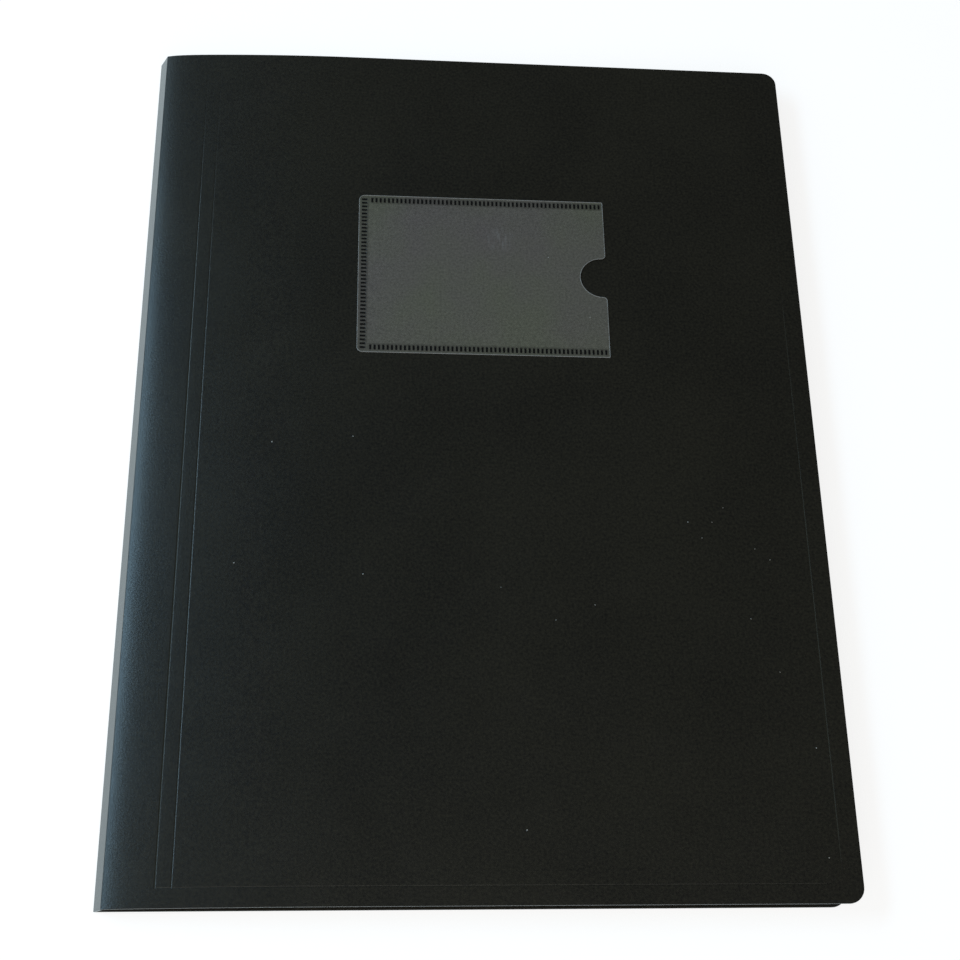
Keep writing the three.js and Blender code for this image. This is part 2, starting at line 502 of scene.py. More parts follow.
@dataclass(frozen=True)
class ClearFilm:
    """Clear or frosted film, seen as a haze over what lies under it."""

    name: str
    haze: Colour
    tint: Colour
    cover: float
    roughness: float
    ripple: float = 0.02 * MM
    ripple_size: float = 9 * MM
    fine_ripple: float = 0.05
    fine_share: float = 0.06
    cloud_scale: float = 26
    cloud_spare: float = 0.35
    speck: float = 0.0
    speck_size: float = 0.8 * MM
    band: WeldBand | None = None
    scuff: Scuff | None = None

    def build(self) -> Material:
        """Builds the material.

        Returns:
            The film.
        """
        nodes = Nodes(self.name)
        wave = nodes.noise(1 / self.ripple_size)
        fine = nodes.noise(1 / (self.fine_ripple * self.ripple_size))
        height = nodes.combine("MULTIPLY_ADD", fine, self.fine_share, wave)
        bump = nodes.add("Bump", Strength=1.0, Distance=self.ripple, Height=height)
        cloud = nodes.noise(self.cloud_scale, detail=3)
        cloud = nodes.stretched(cloud, 0, 1, self.cloud_spare)
        colour = nodes.mix(cloud, self.haze, self.tint)
        speck = nodes.noise(1 / self.speck_size, detail=3, roughness=0.65)
        speck = nodes.stretched(speck, 1 - self.speck, 1 + self.speck)
        colour = nodes.add("VectorMath", {"operation": "SCALE"}, i0=colour, Scale=speck).outputs[0]
        if self.scuff:
            colour = nodes.mix(self.scuff.share(nodes), colour, self.scuff.tone)
        shader = nodes.add(
            "BsdfPrincipled",
            Base_Color=colour,
            Roughness=self.roughness,
            Alpha=self.band.haze(nodes, self.cover) if self.band else self.cover,
            Normal=bump.outputs[0],
        )
        return nodes.finish(shader)


@dataclass(frozen=True)
class PlainFinish:
    """A small detail's finish: one tone with a faint mottle."""

    name: str
    dark: Colour
    light: Colour
    roughness: float = 0.5
    gloss: float = 0.5
    mottle: float = 900

    def build(self) -> Material:
        """Builds the material.

        Returns:
            The finish.
        """
        nodes = Nodes(self.name)
        shader = nodes.add(
            "BsdfPrincipled",
            Base_Color=nodes.mix(nodes.noise(self.mottle), self.dark, self.light),
            Roughness=self.roughness,
            Specular_IOR_Level=self.gloss,
        )
        return nodes.finish(shader)


# The book's own finishes

COVER_PLASTIC = GrainedPlastic("black_plastic")
SPINE_PLASTIC = GrainedPlastic("spine_plastic", gloss=0.6, polish=0.4)
# The creases' lighter colour is a painted highlight; their grooves are real shape.
CREASE_HIGHLIGHT = PlainFinish(
    "pressed_crease", dark=(0.018, 0.018, 0.013, 1), light=(0.032, 0.032, 0.024, 1), gloss=0.15,
)
CARD_FILM = ClearFilm(
    "card_film", haze=(0.208, 0.184, 0.172, 1), tint=(0.205, 0.203, 0.152, 1),
    cover=0.295, roughness=0.38, speck=0.27,
)
WELD_MARKS = PlainFinish(
    "weld_marks", dark=(0.002, 0.002, 0.002, 1), light=(0.005, 0.005, 0.005, 1),
    roughness=0.35, gloss=0.2,
)
# The pale cut edge of the card film is a painted highlight.
FILM_EDGE_HIGHLIGHT = PlainFinish(
    "film_edge", dark=(0.15, 0.15, 0.145, 1), light=(0.27, 0.27, 0.26, 1), roughness=0.3,
)
DUST = PlainFinish("dust", dark=(0.16, 0.16, 0.15, 1), light=(0.34, 0.34, 0.32, 1), roughness=0.8)
POCKET_FILM = ClearFilm(
    "pocket_film", haze=(0.62, 0.64, 0.65, 1), tint=(0.58, 0.605, 0.62, 1),
    cover=0.35, roughness=0.14, fine_share=0.0,
)
POCKET_STACK = PlainFinish(
    "pocket_stack", dark=(0.125, 0.130, 0.134, 1), light=(0.140, 0.145, 0.149, 1),
    roughness=0.3, mottle=60,
)

# Place of the scuff on the card pocket's film
SCUFF_AT: Pair = (9.2 * MM, 76.9 * MM)


@dataclass(frozen=True)
class SheetLooks:
    """The finishes of the one sheet."""

    cover: Material
    crease: Material
    spine: Material


# Creased cover sheet


@dataclass
class CoverSkin:
    """One cover of the folded sheet, from part-way up the spine to its fore-edge."""

    book: Book
    name: str
    body: Body
    axis: np.ndarray
    width: float
    outer: Callable[[float], np.ndarray]
    out_angles: Pair
    spine_way: np.ndarray
    creases: Pair
    framed: bool
    lap: float = 1.0 * MM
    lap_shares: tuple[float, ...] = (1.0, 0.8, 0.6, 0.4, 0.2, 0.0)
    inner_gap: float = 0.06 * MM
    bend_steps: int = 10
    corner: float = 5 * MM
    corner_gaps: tuple[float, ...] = (0, 0.4 * MM, 1 * MM, 1.8 * MM, 2.8 * MM, 3.9 * MM, 5 * MM)
    corner_degrees: tuple[int, ...] = (90, 80, 70, 60, 50, 40, 30, 20, 10)
    bulge_rows: int = 40
    bulge_power: float = 2
    flat_rows: int = 14
    upright_rows: int = 40
    apart: float = 0.05 * MM
    ease: float = 0.09 * MM
    groove_half: float = 0.29 * MM
    groove_depth: float = 0.12 * MM
    groove_rows: int = 9
    groove_span: float = 1.2
    groove_lost: float = 0.45
    tail_crease: float = 5.9 * MM
    fore_crease: float = 6.5 * MM
    head_end: float = 6 * MM
    end_rows: tuple[float, ...] = (-0.5 * MM, -0.1 * MM, 0.5 * MM)
    crease_turn: float = 6 * MM
    turn_rows: int = 24
    fade_from: float = -20 * MM
    fade_least: float = 0.05
    crease_shares: Pair = (1.0, 0.62)
    tail_share: float = 0.3
    fore_share: float = 0.8
    # Share of the groove depth from which a face gets the crease's painted highlight
    pressed_from: float = 0.45
    on_spine: float = 0.9
    join: float = 2e-6

    @property
    def tail_line(self) -> float:
        """Height of the crease along the tail."""
        return -self.book.head + self.tail_crease

    @property
    def head_line(self) -> float:
        """Height at which the upright creases end."""
        return self.book.head - self.head_end

    @property
    def fore_line(self) -> float:
        """Distance of the fore-edge's crease from the fold."""
        return self.width - self.fore_crease

    def fold_inset(self) -> float:
        """Distance from the axis at which the two inner faces meet."""
        turn = abs(self.out_angles[1] - self.out_angles[0])
        return self.book.half * math.tan(turn / 2)

    def face_normal(self, s: float) -> np.ndarray:
        """Unit normal of the outer face.

        Args:
            s: Distance from the fold.

        Returns:
            The normal, in the section seen from the tail.
        """
        way = unit(self.outer(s + PROBE) - self.outer(max(s - PROBE, 0)))
        normal = np.array([-way[1], way[0]])
        return normal if normal[1] * math.sin(self.out_angles[1]) > 0 else -normal

    def across_groove(self, middle: float) -> list[float]:
        """Stations across a crease."""
        shares = np.linspace(-self.groove_span, self.groove_span, self.groove_rows)
        return [middle + self.groove_half * share for share in shares]

    def stations(self) -> list[float]:
        """Distances from the fold at which the cover has a row of vertices.

        Returns:
            The distances in order.
        """
        bulge = self.book.bulge_reach
        groups = [
            spread(0, bulge, self.bulge_rows, self.bulge_power),
            spread(bulge, self.width - self.corner, self.flat_rows),
            [self.width - gap for gap in self.corner_gaps],
        ]
        groups += [self.across_groove(crease) for crease in self.creases]
        if self.framed:
            groups.append(self.across_groove(self.fore_line))
            groups.append(spread(self.fore_line - self.crease_turn, self.fore_line, self.turn_rows))
        return merged(*groups, apart=self.apart)

    def rows(self) -> list[Pair]:
        """Rows of vertices from tail to head.

        Returns:
            For each row its height y, and the angle on its corner's arc, or 0 between the corners.
        """
        centre = self.book.head - self.corner
        angles = [math.radians(degrees) for degrees in self.corner_degrees]
        low = [(-centre, -angle) for angle in angles]
        high = [(centre, angle) for angle in reversed(angles)]
        straight = [spread(-centre, centre, self.upright_rows)]
        if self.framed:
            straight.append(self.across_groove(self.tail_line))
            straight.append(spread(self.tail_line, self.tail_line + self.crease_turn, self.turn_rows))
        step = self.end_rows[-1]
        straight.append([self.tail_line + row for row in self.end_rows])
        straight.append([self.head_line - step, self.head_line, self.head_line + step])
        middle = [(y, 0.0) for y in merged(*straight, apart=self.apart)]
        return low + middle + high

    def crease_lines(self, s: float, y: float) -> list[Pair]:
        """How far a place on the cover is from each crease.

        Args:
            s: Distance from the fold.
            y: Height up the book.

        Returns:
            For each crease the distance to it and its depth as a share of the deepest.
        """
        tail, end, fore = self.tail_line, self.head_line, self.fore_line
        beyond = max(tail - y, y - end, 0)
        lines = [(math.hypot(s - c, beyond), share) for c, share in zip(self.creases, self.crease_shares)]
        if not self.framed:
            return lines
        turn_s, turn_y = fore - self.crease_turn, tail + self.crease_turn
        if s > turn_s and y < turn_y:
            lines.append((abs(math.hypot(s - turn_s, y - turn_y) - self.crease_turn), self.tail_share))
        elif y < turn_y:
            lines.append((math.hypot(y - tail, max(self.creases[0] - s, 0)), self.tail_share))
        else:
            risen = min((y - turn_y) / (2 * self.crease_turn), 1)
            share = self.tail_share + (self.fore_share - self.tail_share) * risen
            lines.append((math.hypot(s - fore, max(y - end, 0)), share))
        return lines

    def groove(self, s: float, y: float) -> float:
        """Depth of the creases at a place on the cover.

        Args:
            s: Distance from the fold.
            y: Height up the book.

        Returns:
            The depth below the face.
        """
        faded = (y - self.fade_from) / (self.head_line - self.fade_from)
        full = self.groove_depth * (1 - (1 - self.fade_least) * min(max(faded, 0), 1))
        depth = 0.0
        for reach, share in self.crease_lines(s, y):
            near = reach / self.groove_half
            if near < 1:
                depth = max(depth, full * share * (0.5 + 0.5 * math.cos(math.pi * near)))
        return depth

    def section(self) -> tuple[np.ndarray, np.ndarray, np.ndarray]:
        """The sheet's section, from part-way up the spine to the fore-edge.

        Returns:
            Outer points, inner points and each point's distance from the fold, below 0 before it.
        """
        half = self.book.half
        inset = self.fold_inset() + self.inner_gap
        spine_out = self.book.spine_out
        outer, inner, along = [], [], []
        for share in self.lap_shares:
            up = share * self.lap
            outer.append(self.axis + up * self.spine_way + half * spine_out)
            inner.append(self.axis + max(up, inset) * self.spine_way - half * spine_out)
            along.append(-up - half)
        first, last = self.out_angles
        spine_inner = inner[-1]
        cover_inner = self.outer(inset) - self.book.sheet * self.face_normal(inset)
        corner = (spine_inner + cover_inner) / 2
        for i in range(1, self.bend_steps):
            share = i / self.bend_steps
            angle = first + (last - first) * i / self.bend_steps
            bend = spine_inner * (1 - share) ** 2 + 2 * corner * share * (1 - share) + cover_inner * share**2
            outer.append(self.axis + half * np.array([math.cos(angle), math.sin(angle)]))
            inner.append(bend)
            along.append(-half * (1 - share))
        for s in self.stations():
            at = max(s, inset)
            outer.append(self.outer(s))
            inner.append(self.outer(at) - self.book.sheet * self.face_normal(at))
            along.append(s)
        return np.array(outer), np.array(inner), np.array(along)

    def place(self, sections: tuple, depth: float, ease: float) -> np.ndarray:
        """Vertices of one layer of the sheet, row by row.

        Args:
            sections: What section() gives.
            depth: 0 on the outer face, 1 on the inner face.
            ease: How far in from the sheet's edge the layer ends.

        Returns:
            Points in rows and columns.
        """
        straight = self.width - self.corner
        radius = self.corner - ease
        rows = []
        for y, angle in self.rows():
            bound = radius * math.cos(angle) if angle else radius
            y = y + radius * math.sin(angle) if angle else y
            row = []
            for outer, inner, s in zip(*sections):
                point = outer + (inner - outer) * depth
                if s > straight:
                    point = point + np.array([(s - straight) * (bound / self.corner - 1), 0])
                    s = straight + (s - straight) * bound / self.corner
                if s > 0:
                    sink = self.groove(s, y) * (1 - self.groove_lost * depth)
                    point = point + (inner - outer) / self.book.sheet * sink
                row.append((point[0], y, point[1]))
            rows.append(row)
        return np.array(rows)

    def build(self) -> Object:
        """Builds the cover as one closed sheet with eased edges.

        Returns:
            The cover.
        """
        sections = self.section()
        edge = self.ease / self.book.sheet
        face_out = self.place(sections, 0, self.ease)
        face_in = self.place(sections, 1, self.ease)
        rows, columns = face_out.shape[:2]
        points = [face_out.reshape(-1, 3), face_in.reshape(-1, 3)]
        faces = grid_faces(rows, columns) + grid_faces(rows, columns, rows * columns)
        loops = list(EASED_RIM) + [(1 / edge - depth, inset) for depth, inset in reversed(EASED_RIM)]
        first = 2 * rows * columns
        for number, (depth, inset) in enumerate(loops):
            layer = self.place(sections, depth * edge, inset * self.ease)
            loop = np.concatenate([layer[0], layer[1:, -1], layer[-1, -2::-1], layer[-2:0:-1, 0]])
            points.append(loop)
            count = len(loop)
            if number:
                for i in range(count):
                    a, b = first + i, first + (i + 1) % count
                    faces.append((a - count, b - count, b, a))
            first += count
        skin = new_object(self.name, np.concatenate(points), faces, join=self.join)
        self.bend(skin)
        return skin

    def dress(self, skin: Object, looks: SheetLooks) -> None:
        """Gives the skin its finishes: cover, creases with a painted highlight, and the part that lies on
        the spine.

        Args:
            skin: The cover's skin.
            looks: The sheet's finishes.
        """
        dress(skin, looks.cover, looks.crease, looks.spine)
        spine_face = self.on_spine * self.book.half
        for face in skin.data.polygons:
            from_axis = np.array([face.center.x, face.center.z]) - self.axis
            depth = self.groove(from_axis[0], face.center.y)
            if from_axis @ self.spine_way > 0 and from_axis @ self.book.spine_out > spine_face:
                face.material_index = SkinPart.SPINE.value
            elif depth > self.pressed_from * self.groove_depth:
                # The deep crease faces get the lighter colour of a painted highlight.
                face.material_index = SkinPart.CREASE.value

    def bend(self, skin: Object) -> None:
        """Hides the cover's imported part and bakes the skin's placement into its mesh.

        Args:
            skin: The cover's skin.
        """
        start = self.axis + self.lap * unit(self.outer(self.lap) - self.outer(0))
        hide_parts(self.body.value)
        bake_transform(skin)


@dataclass
class CoverSheet:
    """The one creased sheet: front cover, spine and back cover."""

    book: Book
    creases: Pair = (15.4 * MM, 20.3 * MM)
    lap: float = 1.0 * MM
    ease: float = 0.09 * MM
    flat_inset: float = 12
    spine_rows: tuple[float, ...] = (0, 0.25, 0.5, 0.75, 1)

    def spine_angle(self) -> float:
        """Angle of the spine's outward normal, in the section seen from the tail."""
        return math.atan2(self.book.spine_out[1], self.book.spine_out[0])

    def front(self) -> CoverSkin:
        """Sets out the front cover.

        Returns:
            The front cover's skin, not yet built.
        """
        book = self.book
        fold = book.front_axis
        slope = math.atan2(book.front_face(PROBE) - book.front_face(0), PROBE)

        def outer(s: float) -> np.ndarray:
            """Point on the outer face at a distance from the fold."""
            return np.array([fold[0] + s, book.front_face(s)])

        return CoverSkin(
            book=book,
            name="front_cover_skin",
            body=Body.FRONT,
            axis=fold,
            width=book.cover_width,
            outer=outer,
            out_angles=(self.spine_angle(), math.pi / 2 + slope),
            spine_way=-book.spine_way,
            creases=self.creases,
            framed=True,
            lap=self.lap,
            ease=self.ease,
        )

    def back(self) -> CoverSkin:
        """Sets out the back cover.

        Returns:
            The back cover's skin, not yet built.
        """
        book = self.book
        fold = book.rear_axis

        def outer(s: float) -> np.ndarray:
            """Point on the outer face, which lies on the table."""
            return np.array([fold[0] + s, 0.0])

        return CoverSkin(
            book=book,
            name="back_cover_skin",
            body=Body.BACK,
            axis=fold,
            width=book.cover_width,
            outer=outer,
            out_angles=(self.spine_angle(), 1.5 * math.pi),
            spine_way=book.spine_way,
            creases=self.creases,
            framed=False,
            lap=self.lap,
            ease=self.ease,
        )

    def spine(self) -> Object:
        """Builds the flat of the spine, between the bends of the two folds.

        Returns:
            The spine.
        """
        book = self.book
        low = book.rear_axis + self.lap * book.spine_way
        high = book.front_axis - self.lap * book.spine_way
        thick = book.sheet / self.ease
        layers = [(0, self.flat_inset), *EASED_RIM]
        layers += [(thick - depth, inset) for depth, inset in reversed(layers)]
        ring = [(book.half - depth * self.ease, book.head - inset * self.ease) for depth, inset in layers]
        path = [(out, -end) for out, end in ring] + [(out, end) for out, end in reversed(ring)]
        points, faces = [], []
        for up in self.spine_rows:
            middle = low + (high - low) * up
            for out, y in path:
                at = middle + out * book.spine_out
                points.append((at[0], y, at[1]))
        count, last = len(path), len(self.spine_rows) - 1
        for r in range(last):
            for c in range(count):
                a, b = r * count + c, r * count + (c + 1) % count
                faces.append((a, b, b + count, a + count))
        faces.append(tuple(range(count)))
        faces.append(tuple(range(last * count, (last + 1) * count)))
        spine = new_object("spine_skin", np.array(points), faces)
        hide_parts("spine")
        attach(spine, Body.PAGES.value)
        return spine

    def build(self, looks: SheetLooks) -> None:
        """Builds and dresses the whole sheet.

        Args:
            looks: The sheet's finishes.
        """
        for cover in (self.front(), self.back()):
            skin = cover.build()
            cover.dress(skin, looks)
            report(skin)
        spine = self.spine()
        dress(spine, looks.spine)
        report(spine)


# Card pocket


@dataclass
class CardPocket:
    """The clear film welded to the front cover on three sides, open at the right."""

    book: Book
    film: float = 0.16 * MM
    weld_gap: float = 0.005 * MM
    puff: float = 0.26 * MM
    puff_rise: float = 14 * MM
    seam: float = 3.6 * MM
    spare: float = 1 * MM
    columns: int = 44
    rows: int = 34
    corner: float = 2 * MM
    open_corner: float = 0.4 * MM
    corner_steps: int = 10
    notch: float = 7.8 * MM
    notch_lip: float = 1.5 * MM
    notch_steps: int = 26
    sharp_degrees: float = 30
    tool_below: float = 1 * MM
    tool_above: float = 2 * MM
    tool_films: float = 3
    mark_pitch: float = 1.5 * MM
    mark_width: float = 0.72 * MM
    mark_length: float = 2 * MM
    mark_inset: float = 1 * MM
    mark_depth: float = 0.12 * MM
    mark_chamfer: float = 0.15
    mark_taper: float = 0.82
    mark_reach: float = 0.52
    mark_floor: float = 0.3
    mark_level: float = 0.2
    bead: float = 0.14 * MM
    bead_inset: float = 0.7
    bead_sides: int = 6

    @property
    def base(self) -> float:
        """Height of the film's underside at its seams."""
        return self.book.top + self.weld_gap

    def outline(self) -> list[Pair]:
        """The film's outline, counter-clockwise from its lower left corner.

        Returns:
            Points in millimetres.
        """
        left, right = self.book.card_low.x / MM, self.book.card_high.x / MM
        low, high = self.book.card_low.y / MM, self.book.card_high.y / MM
        corner, notch, lip = self.corner / MM, self.notch / MM, self.notch_lip / MM
        small = self.open_corner / MM
        middle = (low + high) / 2

        def arc(x: float, y: float, radius: float, first: float, last: float) -> list[Pair]:
            """Points on an arc.

            Args:
                x: Its centre across.
                y: Its centre up.
                radius: Its radius.
                first: Its first angle in degrees.
                last: Its last angle in degrees.

            Returns:
                The points in millimetres.
            """
            count = self.notch_steps if radius == notch else self.corner_steps
            angles = [math.radians(first + (last - first) * i / count) for i in range(count + 1)]
            return [(x + radius * math.cos(a), y + radius * math.sin(a)) for a in angles]

        points = arc(left + corner, low + corner, corner, 180, 270)
        points += arc(right - small, low + small, small, 270, 360)
        points += arc(right - lip, middle - notch - lip, lip, 0, 90)
        points += arc(right - lip, middle, notch, 270, 90)[1:-1]
        points += arc(right - lip, middle + notch + lip, lip, 270, 360)
        points += arc(right - small, high - small, small, 0, 90)
        points += arc(left + corner, high - corner, corner, 90, 180)
        return points

    def lift(self, x: float, y: float) -> float:
        """How far the film's underside stands off the cover.

        Args:
            x: Place across, in metres.
            y: Place up, in metres.

        Returns:
            The gap in metres.
        """
        low, high = self.book.card_low, self.book.card_high
        across = min(max((x - low.x - self.seam) / self.puff_rise, 0), 1)
        edge = min(y - low.y, high.y - y) - self.seam
        up = min(max(edge / self.puff_rise, 0), 1)
        return self.puff * (math.sin(across * math.pi / 2) * math.sin(up * math.pi / 2))

    def sheet_mesh(self) -> Object:
        """Makes the film before its outline is cut: a grid a little wider than the film.

        Returns:
            The grid, in millimetres.
        """
        low, high = self.book.card_low, self.book.card_high
        xs = [low.x - self.spare, high.x + self.spare]
        xs = merged(xs, spread(low.x + self.seam, high.x, self.columns))
        ys = [low.y - self.spare, high.y + self.spare]
        ys = merged(ys, spread(low.y + self.seam, high.y - self.seam, self.rows))
        points = []
        for rise in (0, self.film):
            for y in ys:
                for x in xs:
                    points.append((x / MM, y / MM, (self.base + rise + self.lift(x, y)) / MM))
        return new_object("card_pocket_film", np.array(points), closed_faces(len(ys), len(xs)))

    def outline_tool(self) -> Object:
        """Makes the tool that cuts the film's outline.

        Returns:
            The tool, in millimetres.
        """
        outline = self.outline()
        count = len(outline)
        low = self.base / MM - self.tool_below / MM
        high = self.base / MM + self.tool_above / MM
        points = [(x, y, z) for z in (low, high) for x, y in outline]
        faces = [tuple(range(count)), tuple(range(count, 2 * count))]
        faces += [(i, (i + 1) % count, (i + 1) % count + count, i + count) for i in range(count)]
        return new_object("outline_tool", np.array(points), faces)

    def marks(self) -> list[tuple[float, float, float, float]]:
        """Weld marks along the three closed sides.

        Returns:
            For each its middle x and y, width and height, in metres.
        """
        low, high = self.book.card_low, self.book.card_high
        inset = self.mark_inset + self.mark_length / 2
        end = self.mark_inset + self.mark_width
        marks = []

        def middles(start: float, stop: float) -> list[float]:
            """Middles of the marks along one side.

            Args:
                start: Where the side's marks may begin.
                stop: Where they have to end.

            Returns:
                Places along the side, in metres.
            """
            count = int((stop - start) / self.mark_pitch)
            spare = (stop - start - count * self.mark_pitch) / 2
            return [start + spare + i * self.mark_pitch for i in range(count + 1)]

        for x in middles(low.x + inset + self.mark_length, high.x - self.mark_width):
            for y in (low.y + inset, high.y - inset):
                marks.append((x, y, self.mark_width, self.mark_length))
        for y in middles(low.y + end, high.y - end):
            marks.append((low.x + inset, y, self.mark_length, self.mark_width))
        return marks

    def mark_tool(self) -> Object:
        """Makes all the weld marks as one tool.

        Returns:
            The tool, in millimetres.
        """
        points, faces = [], []
        surface = self.base + self.film
        levels = (
            (surface - self.mark_depth, self.mark_taper),
            (surface, 1.0),
            (self.base + self.tool_films * self.film, 1.0),
        )
        for x, y, width, height in self.marks():
            first = len(points)
            cut = self.mark_chamfer * min(width, height)
            w, h = width / 2, height / 2
            ring = [(-w + cut, -h), (w - cut, -h), (w, -h + cut), (w, h - cut)]
            ring += [(w - cut, h), (-w + cut, h), (-w, h - cut), (-w, -h + cut)]
            sides = len(ring)
            for z, narrow in levels:
                points += [((x + dx * narrow) / MM, (y + dy * narrow) / MM, z / MM) for dx, dy in ring]
            faces.append(tuple(range(first, first + sides)))
            faces.append(tuple(range(first + 2 * sides, first + 3 * sides)))
            for level in (0, sides):
                for i in range(sides):
                    a, b = first + level + i, first + level + (i + 1) % sides
                    faces.append((a, b, b + sides, a + sides))
        return new_object("mark_tool", np.array(points), faces)

    def cut(self, film: Object, tool: Object, operation: str) -> None:
        """Cuts the film with a tool and removes the tool.

        Args:
            film: The film.
            tool: The tool.
            operation: INTERSECT or DIFFERENCE.
        """
        change = film.modifiers.new("cut", "BOOLEAN")
        change.operation = operation
        change.solver = "EXACT"
        change.object = tool
        bpy.context.view_layer.update()
        graph = bpy.context.evaluated_depsgraph_get()
        mesh = bpy.data.meshes.new_from_object(film.evaluated_get(graph))
        film.modifiers.clear()
        film.data = mesh
        bpy.data.objects.remove(tool)

    def edge_bead(self) -> Object:
        """Builds the bead along the film's cut edge, whose pale colour is a painted highlight.

        Returns:
            A thin closed bead.
        """
        outline = [(x * MM, y * MM) for x, y in self.outline()]
        count, sides = len(outline), self.bead_sides
        points, faces = [], []
        for i, (x, y) in enumerate(outline):
            before, after = outline[i - 1], outline[(i + 1) % count]
            way = Vector((after[0] - before[0], after[1] - before[1])).normalized()
            inward = Vector((-way.y, way.x))
            height = self.base + self.film + self.lift(x, y) - self.film / 2
            for k in range(sides):
                turn = 2 * math.pi * k / sides
                side = self.bead * (math.cos(turn) + self.bead_inset)
                rise = self.bead * math.sin(turn)
                points.append((x + inward.x * side, y + inward.y * side, height + rise))
        for i in range(count):
            for k in range(sides):
                a, b = i * sides + k, i * sides + (k + 1) % sides
                c, d = ((i + 1) % count) * sides + k, ((i + 1) % count) * sides + (k + 1) % sides
                faces.append((a, b, d, c))
        return new_object("card_pocket_edge", np.array(points), faces)

    def press_marks(self, film: Object) -> None:
        """Gives the floors of the weld marks their own finish.

        Args:
            film: The cut film.
        """
        marks = self.marks()
        highest = self.base + self.film - self.mark_floor * self.mark_depth
        for face in film.data.polygons:
            x, y, z = face.center
            on_floor = self.base < z < highest and face.normal.z > self.mark_level
            inside = any(
                abs(x - mark_x) < width * self.mark_reach and abs(y - mark_y) < height * self.mark_reach
                for mark_x, mark_y, width, height in marks
            )
            part = FilmPart.MARK if inside and on_floor else FilmPart.FILM
            face.material_index = part.value

    def build(self, film_look: Material, mark_look: Material, edge_look: Material) -> None:
        """Builds and dresses the card pocket.

        Args:
            film_look: Finish of the film.
            mark_look: Finish of the weld marks.
            edge_look: Finish of the film's cut edge, a painted highlight.
        """
        film = self.sheet_mesh()
        self.cut(film, self.outline_tool(), "INTERSECT")
        self.cut(film, self.mark_tool(), "DIFFERENCE")
        film.data.transform(Matrix.Scale(MM, 4))
        dress(film, film_look, mark_look)
        self.press_marks(film)
        smooth(film, self.sharp_degrees)
        edge = self.edge_bead()
        dress(edge, edge_look)
        for piece in (film, edge):
            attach(piece, Body.FRONT.value)
            report(piece)
        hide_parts("card_pocket")


# Dust


@dataclass
class Dust:
    """The few flecks of dust on the front cover, at places given in millimetres."""

    book: Book
    places: tuple[Pair, ...] = (
        (-69.2, -3.9), (-42.2, -1.5), (-79.8, -46.9), (-38.1, -50.5), (6.8, -54.4), (37.5, -60.2),
        (24.5, -65.4), (70.3, -30.7), (78.5, -30.6), (82.7, -25.4), (74.7, -36.3), (92.4, -40.0),
        (97.2, -43.8), (89.0, -64.4), (97.0, -82.3), (13.2, -132.6), (107.0, -141.3), (106.5, -107.0),
        (26.4, 70.0), (40.5, 46.0),
    )
    least: float = 0.17 * MM
    most: float = 0.31 * MM
    height: float = 0.06 * MM
    sunk: float = 0.2
    levels: tuple[Pair, ...] = ((-0.2, 1.0), (0.5, 0.8))
    uneven: Pair = (0.6, 1.1)
    loose_turn: float = 0.6
    sides: int = 7
    seed: int = 5

    def fleck(self, x: float, y: float, base: float, chance: np.random.Generator) -> list[Triple]:
        """Vertices of one fleck: two rings, its top and its underside.

        Args:
            x: Place across, in metres.
            y: Place up, in metres.
            base: Height of the face that it lies on.
            chance: Source of the random draws.

        Returns:
            The vertices.
        """
        points = []
        radius = chance.uniform(self.least, self.most)
        turns = np.sort(chance.uniform(0, 2 * math.pi / self.sides * self.loose_turn, self.sides))
        turns = turns + np.arange(self.sides) * 2 * math.pi / self.sides
        for level, share in self.levels:
            for turn in turns:
                reach = radius * share * chance.uniform(*self.uneven)
                at = (x + reach * math.cos(turn), y + reach * math.sin(turn))
                points.append((*at, base + level * self.height))
        points.append((x, y, base + self.height))
        points.append((x, y, base - self.sunk * self.height))
        return points

    def build(self, look: Material) -> None:
        """Builds and dresses the flecks as one piece.

        Args:
            look: Finish of the dust.
        """
        chance = np.random.default_rng(self.seed)
        low, high = self.book.card_low, self.book.card_high
        points, faces = [], []
        sides = self.sides
        for across, up in self.places:
            x, y = across * MM, up * MM
            on_film = low.x < x < high.x and low.y < y < high.y
            base = high.z if on_film else self.book.front_face(x - self.book.front_axis[0])
            first = len(points)
            points += self.fleck(x, y, base, chance)
            for i in range(sides):
                a, b = first + i, first + (i + 1) % sides
                faces.append((a, b, b + sides, a + sides))
                faces.append((a + sides, b + sides, first + 2 * sides))
                faces.append((b, a, first + 2 * sides + 1))
        dust = new_object("dust_flecks", np.array(points), faces)
        dress(dust, look)
        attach(dust, Body.FRONT.value)
        log.info("%s: %d flecks", dust.name, len(self.places))


# Pockets


